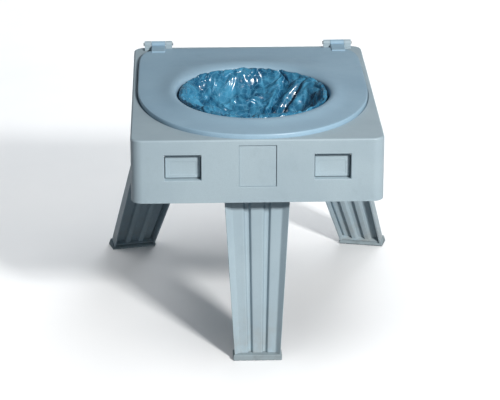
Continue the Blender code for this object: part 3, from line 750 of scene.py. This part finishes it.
def inner_profile(sheet=LEG_SHEET):
    """The section's inside line, a sheet's thickness in from the outer line, both in metres."""
    half = [Vector((across * LEG_MIDDLE_HALF, inward * MM)) for across, inward in LEG_PROFILE]
    line = half + [Vector((-p.x, p.y)) for p in reversed(half)]
    made = []
    for i, here in enumerate(line):
        before, after = line[max(i - 1, 0)], line[min(i + 1, len(line) - 1)]
        sides = [v.normalized() for v in (here - before, after - here) if v.length > 0]
        normals = [Vector((v.y, -v.x)) for v in sides]
        mitre = (normals[0] + normals[-1]).normalized()
        spot = here + mitre * (sheet / mitre.dot(normals[0]))
        made.append((spot.x / LEG_MIDDLE_HALF, spot.y))
    return made


def leg_row(leg, down):
    """The channel's section at one height, with rounded folds: outer line, then inner line back."""
    half = LEG_PROFILE + [(-across, inward) for across, inward in reversed(LEG_PROFILE)]
    outer = [leg.point(across, inward * MM, down) for across, inward in half]
    inner = [leg.point(across, inward, down) for across, inward in inner_profile()]
    return rounded_line(outer, FOLD_R) + rounded_line(inner, FOLD_INSIDE_R)[::-1]


def build_leg(leg):
    """Ribbed channel, with cross webs inside, and a neck and a barrel at the pin."""
    rows = [leg_row(leg, float(down)) for down in np.linspace(BOARD_START, leg.stop + 4 * MM, LEG_ROWS)]
    channel = as_object(skin_rings(rows, capped=True), "channel")
    extras = [box("neck", (-BARREL_HALF, -NECK_HALF, -BOARD_START - 4 * MM),
                  (BARREL_HALF, NECK_HALF, -4 * MM)),
              rod("barrel", BARREL_R, (-BARREL_HALF, 0, 0), (BARREL_HALF, 0, 0), 48)]
    for down in (BOARD_START + 1.5 * MM, leg.stop * 0.55, leg.stop - 1.5 * MM):
        extras.append(cross_web(leg, down))
    join(channel, *extras)
    end = box("end", (-0.2, -0.05, -leg.stop - 0.03), (0.2, 0.05, -leg.stop))
    bore = rod("bore", PIN_BORE_R, (-0.06, 0, 0), (0.06, 0, 0))
    flat_faces(cut(channel, end, bore))
    channel.data.transform(leg.place)
    finish(channel, f"{leg.name}_leg_channel", LEG, leg.body, f"{leg.name}_leg")


def cross_web(leg, down):
    """A thin web across the inside of the channel, a little lower than its flanges."""
    line = inner_profile(LEG_SHEET - 0.9 * MM)
    line[0], line[-1] = (line[0][0], WEB_TOP), (line[-1][0], WEB_TOP)
    rings = [[leg.point(across, inward, down + offset) for across, inward in line]
             for offset in (-WEB_T / 2, WEB_T / 2)]
    return as_object(skin_rings(rings, capped=True), "web", smooth=0)


SHOE_OUT, SHOE_GAP, SHOE_ROUND = 2.2 * MM, 0.3 * MM, 1.4 * MM
GROOVES, GROOVE_HALF = 6, 1.2 * MM


def build_foot(leg):
    """A rubber shoe with a rounded rim and shallow grooves in its sole."""
    rings = []
    for on_ground in (False, True):
        ring = []
        for across, inward in ((-1, -SHOE_OUT), (1, -SHOE_OUT),
                               (1, LEG_DEPTH + SHOE_OUT), (-1, LEG_DEPTH + SHOE_OUT)):
            corner = leg.point(across, inward, leg.stop + SHOE_GAP)
            corner.x += across * SHOE_OUT
            if on_ground:
                down = leg.ground(corner.y)
                corner.x += leg.slant * (down + corner.z)
                corner.z = -down
            ring.append(corner)
        rings.append(ring)
    shoe = as_object(skin_rings(rings, capped=True), "shoe")
    shoe.data.transform(leg.place)
    soften(shoe, SHOE_ROUND, 3, 30)
    low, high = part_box(f"{leg.name}_foot")
    grooves = []
    for step in range(1, GROOVES + 1):
        x = low.x + (high.x - low.x) * step / (GROOVES + 1)
        grooves.append(box("groove", (x - GROOVE_HALF, low.y - 0.02, -1 * MM),
                           (x + GROOVE_HALF, high.y + 0.02, 1.0 * MM)))
    cut(shoe, *grooves)
    finish(shoe, f"{leg.name}_shoe", RUBBER, leg.body, f"{leg.name}_foot")


LUG_IN, LUG_T = BARREL_HALF + 0.4 * MM, 7 * MM
LUG_OUT = LUG_IN + LUG_T
LUG_BACK, LUG_FRONT = 15.5 * MM, 12 * MM
YOKE_T, YOKE_HALF, YOKE_GAP = 5 * MM, 15 * MM, 0.3 * MM
GUSSET_HALF_T, GUSSET_DOWN, GUSSET_OUT = 1.5 * MM, 18 * MM, 12 * MM
STOP_R, STOP_GAP, STOP_DOWN = 2.5 * MM, 0.3 * MM, 10 * MM
SCREW_X, SCREW_HOLE_R = 22 * MM, 1.8 * MM
PIN_R, PIN_HEAD_R = 4 * MM, 6.5 * MM


def build_bracket(leg):
    """A yoke with two lugs and their gussets, and the bar that stops the open leg."""
    top = DECK_UNDER - YOKE_GAP - leg.pin.z
    base = top - YOKE_T
    yoke = box("yoke", (-LUG_OUT, -YOKE_HALF, base), (LUG_OUT, YOKE_HALF, top))
    extras = []
    for end in (-1, 1):
        low, high = sorted((end * LUG_IN, end * LUG_OUT))
        back, front = sorted((leg.outward * LUG_BACK, -leg.outward * LUG_FRONT))
        extras.append(box("lug", (low, back, -LUG_FRONT), (high, front, base + 2 * MM)))
        inner = end * LUG_IN
        rings = []
        for y in (-GUSSET_HALF_T, GUSSET_HALF_T):
            rings.append([(inner + end * 0.5 * MM, y, base - GUSSET_DOWN),
                          (inner + end * 0.5 * MM, y, base + 1 * MM),
                          (inner - end * GUSSET_OUT, y, base + 1 * MM)])
        extras.append(as_object(skin_rings(rings, capped=True), "gusset", smooth=0))
    away = NECK_HALF + STOP_GAP + STOP_R
    spot = Matrix.Rotation(leg.lean, 4, "X") @ Vector((0.0, leg.outward * away, -STOP_DOWN))
    extras.append(rod("stop", STOP_R, (-LUG_OUT + MM, spot.y, spot.z), (LUG_OUT - MM, spot.y, spot.z), 20))
    join(yoke, *extras)
    soften(yoke, 0.6 * MM, 2, 50)
    cut(yoke, rod("bore", PIN_BORE_R, (-0.07, 0, 0), (0.07, 0, 0)),
        *[rod("hole", SCREW_HOLE_R, (x, 0, base - 0.01), (x, 0, top + 0.01), 16)
          for x in (-SCREW_X, SCREW_X)])
    yoke.data.transform(leg.upright)
    finish(yoke, f"{leg.name}_yoke", FITTING, "case", f"{leg.name}_leg_bracket")


def along_pin(name, radius, side, start, end, edge):
    """A round piece on a leg's pin, from one distance past the lugs on a side to another."""
    return rod(name, radius, (side * (LUG_OUT + start), 0, 0), (side * (LUG_OUT + end), 0, 0), 32, edge)


def build_leg_pin(leg):
    """The pin, its head on the side away from the middle, and its push-on washer on the other."""
    outer = -1 if leg.pin.x < 0 else 1
    pin = rod("pin", PIN_R, (-outer * (LUG_OUT + 3 * MM), 0, 0), (outer * (LUG_OUT + 2 * MM), 0, 0),
              32, 0.6 * MM)
    join(pin, along_pin("head", PIN_HEAD_R, outer, 0.3 * MM, 2.8 * MM, 0.7 * MM))
    pin.data.transform(leg.upright)
    finish(pin, f"{leg.name}_pin", STEEL, "case", f"{leg.name}_leg_pin")
    washer = along_pin("washer", PIN_HEAD_R, -outer, 0.3 * MM, 1.6 * MM, 0.3 * MM)
    cut(washer, rod("bore", PIN_BORE_R, (-0.08, 0, 0), (0.08, 0, 0)))
    washer.data.transform(leg.upright)
    finish(washer, f"{leg.name}_washer", STEEL, "case", f"{leg.name}_pin_washer")


HEAD_R, HEAD_T, SHANK_R = 3.6 * MM, 1.9 * MM, 1.5 * MM
SLOT_REACH, SLOT_HALF = 2.2 * MM, 0.45 * MM


def build_screws():
    """Pan heads with a cross recess, one for each CAD screw."""
    for node in sorted(frame["nodes"]):
        if "screw" not in node:
            continue
        low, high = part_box(node)
        x, y = (low.x + high.x) / 2, (low.y + high.y) / 2
        head = rod("head", HEAD_R, (x, y, low.z), (x, y, low.z + HEAD_T), 28, 0.8 * MM)
        join(head, rod("shank", SHANK_R, (x, y, low.z + 1.2 * MM), (x, y, high.z), 16))
        cut(head, *[box("slot", (x - a, y - b, low.z - MM), (x + a, y + b, low.z + MM))
                    for a, b in ((SLOT_REACH, SLOT_HALF), (SLOT_HALF, SLOT_REACH))])
        finish(head, f"{node}_head", STEEL, "case", node)


# --- grips ---
FLAP_T, FLAP_BARREL_R, FLAP_BORE_R = 4 * MM, 3.3 * MM, 1.8 * MM
DISH_SIDE, DISH_LOW, DISH_HIGH, DISH_DEPTH = 6 * MM, 5 * MM, 26 * MM, 0.8 * MM
GRIP_PIN_R, GRIP_PIN_HALF = 1.5 * MM, 30 * MM


def build_grips():
    for word in ("left", "right"):
        low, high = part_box(f"front_grip_{word}")
        x, half = (low.x + high.x) / 2, (high.x - low.x) / 2
        y, z = GRIP_AXIS.y, GRIP_AXIS.z
        face = low.y
        flap = box("flap", (x - half, face, low.z), (x + half, face + FLAP_T, z), 0.9 * MM, 3)
        join(flap, rod("barrel", FLAP_BARREL_R, (x - half, y, z), (x + half, y, z), 24))
        dish = box("dish", (x - half + DISH_SIDE, face - FLAP_T, low.z + DISH_LOW),
                   (x + half - DISH_SIDE, face + DISH_DEPTH, low.z + DISH_HIGH), 0.7 * MM, 2)
        cut(flap, dish, rod("bore", FLAP_BORE_R, (x - 0.05, y, z), (x + 0.05, y, z), 16))
        finish(flap, f"grip_flap_{word}", SHELL, f"{word}_grip", f"front_grip_{word}")
        pin = rod(f"grip_pin_{word}", GRIP_PIN_R, (x - GRIP_PIN_HALF, y, z), (x + GRIP_PIN_HALF, y, z),
                  16, 0.3 * MM)
        shade(pin, STEEL)
        fit(pin, "case", f"front_grip_pin_{word}")


# --- net ring, net and liner ---
def oval_ring(grow, z, count):
    turns = circle(count)
    return ring_at([oval_reach(t, grow) for t in turns], turns, z)


RING_IN, RING_OUT, RING_RAYS = 10 * MM, 20 * MM, 120
RING_FLANK, RING_FACE = (1, 0.6), (0.94, 1)


def build_net_ring():
    """A flat ring round the opening, each corner of its section cut off between two points."""
    low, high = RING_LOW.z, RING_HIGH.z
    middle_grow, middle_z = (RING_IN + RING_OUT) / 2, (low + high) / 2
    to_face, to_flank = (RING_FLANK, RING_FACE), (RING_FACE, RING_FLANK)
    rings = []
    for grow, z, pulls in ((RING_IN, low, to_face), (RING_OUT, low, to_flank),
                           (RING_OUT, high, to_face), (RING_IN, high, to_flank)):
        for pull_grow, pull_z in pulls:
            rings.append(oval_ring(middle_grow + (grow - middle_grow) * pull_grow,
                                   middle_z + (z - middle_z) * pull_z, RING_RAYS))
    piece = as_object(skin_rings(rings, closed=True), "net_clamp_ring")
    shade(piece, FITTING)
    fit(piece, "case", "net_ring")


# Bowls from the middle out: share of the opening's half width, and height in millimetres.
NET_SECTION = [(0.0, 299.6), (0.187, 299.9), (0.502, 303.8), (0.793, 316.8), (1.0, 331.9), (1.079, 340.4),
               (1.087, 346.2)]
FILM_SECTION = [(0.0, 320.0), (0.25, 322.0), (0.50, 329.0), (0.70, 341.0), (0.83, 353.5), (0.91, 363.5),
                (0.95, 368.0), (0.974, 368.0), (0.985, 363.0), (0.987, 344.5), (1.01, 342.0), (1.04, 343.6),
                (1.0515, 349.0), (1.06, 356.8), (1.1826, 356.8)]


def disc_points(count):
    """A square grid pressed into a disc: for each grid point its radius, up to 1, and its turn."""
    points = []
    for row in range(count + 1):
        for column in range(count + 1):
            u, v = 2 * column / count - 1, 2 * row / count - 1
            if u == 0 and v == 0:
                points.append((0.0, 0.0))
            elif abs(u) > abs(v):
                turn = pi / 4 * v / u
                points.append((abs(u), turn if u > 0 else turn + pi))
            else:
                turn = pi / 2 - pi / 4 * u / v
                points.append((abs(v), turn if v > 0 else turn + pi))
    return points


def bowl_point(section, radius, turn):
    """A point of a bowl, evenly spaced along its section from the middle out."""
    shares = np.array([share for share, _ in section])
    heights = np.array([z for _, z in section]) * MM
    steps = np.hypot(np.diff(shares) * (OPEN_A + OPEN_B) / 2, np.diff(heights))
    along = np.concatenate([[0.0], np.cumsum(steps)]) / steps.sum()
    share = float(np.interp(radius, along, shares))
    z = float(np.interp(radius, along, heights))
    grow = max(share - 1.0, 0.0) * OPEN_A
    inner = min(share, 1.0)
    return Vector(((inner * OPEN_A + grow) * cos(turn), OPEN_Y + (inner * OPEN_B + grow) * sin(turn), z))


def bowl_grid(section, count):
    bm = bmesh.new()
    verts = [bm.verts.new(bowl_point(section, r, t)) for r, t in disc_points(count)]
    row = count + 1
    for i in range(count):
        for j in range(count):
            corner = i * row + j
            bm.faces.new((verts[corner], verts[corner + 1], verts[corner + row + 1], verts[corner + row]))
    return bm


NET_CELLS = 50
YARN_R = 0.55 * MM
HEM_R = 1.0 * MM
YARN_SIDES = 5


def build_net():
    """Knitted netting: round yarn along both ways of a grid on the bowl, with a corded hem."""
    grid = bowl_grid(NET_SECTION, NET_CELLS)
    made = bmesh.new()
    for edge in grid.edges:
        radius = HEM_R if edge.is_boundary else YARN_R
        a, b = edge.verts[0].co, edge.verts[1].co
        along = (b - a).normalized()
        side = along.orthogonal().normalized()
        other = along.cross(side)
        rings = []
        for end in (a, b):
            rings.append([made.verts.new(end + radius * (side * cos(t) + other * sin(t)))
                          for t in circle(YARN_SIDES)])
        for i in range(YARN_SIDES):
            j = (i + 1) % YARN_SIDES
            made.faces.new((rings[0][i], rings[0][j], rings[1][j], rings[1][i]))
    grid.free()
    net = as_object(made, "bag_netting", YARN, smooth=180)
    fit(net, "case", "bag_net")


# --- liner: a film that is bigger than its bowl, gathered by cloth simulation ---
FILM_CELLS = 110
FILM_GROWTH = 0.22
FILM_FRAMES = 34
PINNED_FROM, HALF_PINNED_FROM = 1.035, 0.94     # shares of the opening's half width
FOLD_DENSITY, FOLD_TWIST, FOLD_DEPTH, WRINKLE_DEPTH = 6.5, 2.2, 13.0, 3.0
GUARD_RAYS, NET_GUARD_LIFT = 96, 1.5 * MM
# The seat's lip as the film meets it: growth of the opening, and height, in millimetres.
LIP_SECTION = [(-1.2, 378), (-1.2, 347.5), (0.0, 346.0), (4, 345.5)]


def guard(name, rings):
    """A surface that the film can't pass, there only while it is simulated. It faces the film."""
    made = as_object(skin_rings(rings), name, keep_facing=True)
    made.modifiers.new("guard", "COLLISION")
    made.collision.thickness_outer = 0.8 * MM
    made.collision.cloth_friction = 6
    return made


def build_liner():
    """The bag's film: radial folds and small wrinkles to start from, then the simulation."""
    bag = as_object(bowl_grid(FILM_SECTION, FILM_CELLS), "liner_bag")
    clamp = bag.vertex_groups.new(name="clamp")
    for vert in bag.data.vertices:
        share = hypot(vert.co.x / OPEN_A, (vert.co.y - OPEN_Y) / OPEN_B)
        if share > PINNED_FROM:
            clamp.add([vert.index], 1.0, "REPLACE")
        elif share > HALF_PINNED_FROM:
            clamp.add([vert.index], 0.5, "REPLACE")
        else:
            turn = atan2(vert.co.y - OPEN_Y, vert.co.x)
            spot = Vector((FOLD_DENSITY * cos(turn), FOLD_DENSITY * sin(turn), FOLD_TWIST * share))
            fold = noise.noise(spot)
            wrinkle = noise.noise(vert.co * 70.0) + 0.5 * noise.noise(vert.co * 160.0)
            inside = HALF_PINNED_FROM - share
            fade = min(1.0, share / 0.5) * min(1.0, inside / 0.10)
            vert.co.z += (FOLD_DEPTH * fold * fade + WRINKLE_DEPTH * wrinkle * min(1.0, inside / 0.05)) * MM
    gather(bag)
    smooth = bag.modifiers.new("smooth", "SUBSURF")
    smooth.levels = smooth.render_levels = 1
    settle(bag)
    shade(bag, FILM, angle=180, weighted=False)
    fit(bag, "case", "waste_bag_liner")


def gather(bag):
    """Let the oversized film crease between its clamp, the net and the seat's lip."""
    turns = circle(GUARD_RAYS)
    net_guard = guard("net_guard", [[bowl_point(NET_SECTION, r, t) + Vector((0, 0, NET_GUARD_LIFT))
                                     for t in turns] for r in np.linspace(0.985, 0.02, 26)])
    lip_guard = guard("lip_guard", [oval_ring(grow * MM, z * MM, GUARD_RAYS) for grow, z in LIP_SECTION])
    cloth = bag.modifiers.new("film", "CLOTH")
    rules = cloth.settings
    rules.quality = 6
    rules.mass = 0.06
    rules.tension_stiffness = rules.compression_stiffness = 25
    rules.shear_stiffness = 12
    rules.bending_stiffness = 0.03
    rules.air_damping = 2.0
    rules.shrink_min = -FILM_GROWTH
    rules.vertex_group_mass = "clamp"
    rules.effector_weights.gravity = 0.12
    bumps = cloth.collision_settings
    bumps.distance_min = 1.0 * MM
    bumps.use_self_collision = True
    bumps.self_distance_min = 1.0 * MM
    bumps.collision_quality = 3
    cloth.point_cache.frame_start = 1
    cloth.point_cache.frame_end = FILM_FRAMES
    scene = bpy.context.scene
    for step in range(1, FILM_FRAMES + 1):
        scene.frame_set(step)
    settle(bag)
    scene.frame_set(1)
    for made in (net_guard, lip_guard):
        bpy.data.objects.remove(made, do_unlink=True)


build_case()
build_badge()
build_seat()
build_seat_hinges()
for place in LEGS:
    build_leg(place)
    build_foot(place)
    build_bracket(place)
    build_leg_pin(place)
build_screws()
build_grips()
build_net_ring()
build_net()
build_liner()


# --- floor, light and camera ---
CAMERA_AIM = Vector((-0.004, -0.02, 0.176))
CAMERA_AZIMUTH, CAMERA_ELEVATION = radians(-1.9), radians(20.5)
CAMERA_AWAY = 3.72
CAMERA_LENS = 166


def floor_material():
    paint = Paint("floor")
    clouds = paint.spread(paint.noise(3, 3, 0.5), 0.35, 0.65)
    tone = paint.mixed(clouds, (0.86, 0.86, 0.86), (0.83, 0.835, 0.84))
    paint.link(tone, paint.shader.inputs["Base Color"])
    paint.set(Roughness=0.75, Specular_IOR_Level=0.2)
    return paint.material


def build_floor():
    bm = bmesh.new()
    bmesh.ops.create_circle(bm, cap_ends=True, segments=96, radius=40)
    floor = as_object(bm, "floor", floor_material(), smooth=0)
    floor.visible_diffuse = False
    return floor


def build_sky():
    world = bpy.data.worlds.new("studio")
    world.use_nodes = True
    bpy.context.scene.world = world
    sky = world.node_tree.nodes["Background"]
    sky.inputs["Color"].default_value = (0.80, 0.91, 1.0, 1.0)
    sky.inputs["Strength"].default_value = 0.17


def direction(azimuth, elevation):
    """The way out from the toilet, with azimuth from its front to its right-hand side, in radians."""
    return Vector((sin(azimuth) * cos(elevation), -cos(azimuth) * cos(elevation), sin(elevation)))


def area_light(name, azimuth, elevation, away, size, power, colour=(1.0, 1.0, 1.0)):
    """A square light aimed at the toilet, its angles in degrees."""
    data = bpy.data.lights.new(name, "AREA")
    data.shape = "SQUARE"
    data.size = size
    data.energy = power
    data.color = colour
    lamp = bpy.data.objects.new(name, data)
    bpy.context.scene.collection.objects.link(lamp)
    aim = Vector((0.0, 0.0, 0.25))
    lamp.location = aim + away * direction(radians(azimuth), radians(elevation))
    lamp.rotation_mode = "QUATERNION"
    lamp.rotation_quaternion = (aim - lamp.location).to_track_quat("-Z", "Y")
    return lamp


def build_lights(floor):
    area_light("key", azimuth=27, elevation=31, away=4.0, size=0.45, power=165, colour=(1.0, 0.99, 0.975))
    back_fill = area_light("back_fill", azimuth=165, elevation=20, away=3.5, size=1.5, power=30,
                           colour=(0.92, 0.96, 1.0))
    back_fill.visible_glossy = False
    wash = area_light("floor_wash", azimuth=0, elevation=88, away=6.0, size=6.0, power=260)
    receivers = bpy.data.collections.new("floor_only")
    receivers.objects.link(floor)
    wash.light_linking.receiver_collection = receivers


def build_camera():
    """A long lens from about 20 degrees up, as the photograph's angle was found to be."""
    data = bpy.data.cameras.new("camera")
    data.lens = CAMERA_LENS
    data.sensor_width = 36
    data.clip_end = 200
    camera = bpy.data.objects.new("camera", data)
    bpy.context.scene.collection.objects.link(camera)
    camera.location = CAMERA_AIM + CAMERA_AWAY * direction(CAMERA_AZIMUTH, CAMERA_ELEVATION)
    camera.rotation_mode = "QUATERNION"
    camera.rotation_quaternion = (CAMERA_AIM - camera.location).to_track_quat("-Z", "Y")
    bpy.context.scene.camera = camera


bpy.context.scene.view_settings.view_transform = "Standard"
build_sky()
build_lights(build_floor())
build_camera()
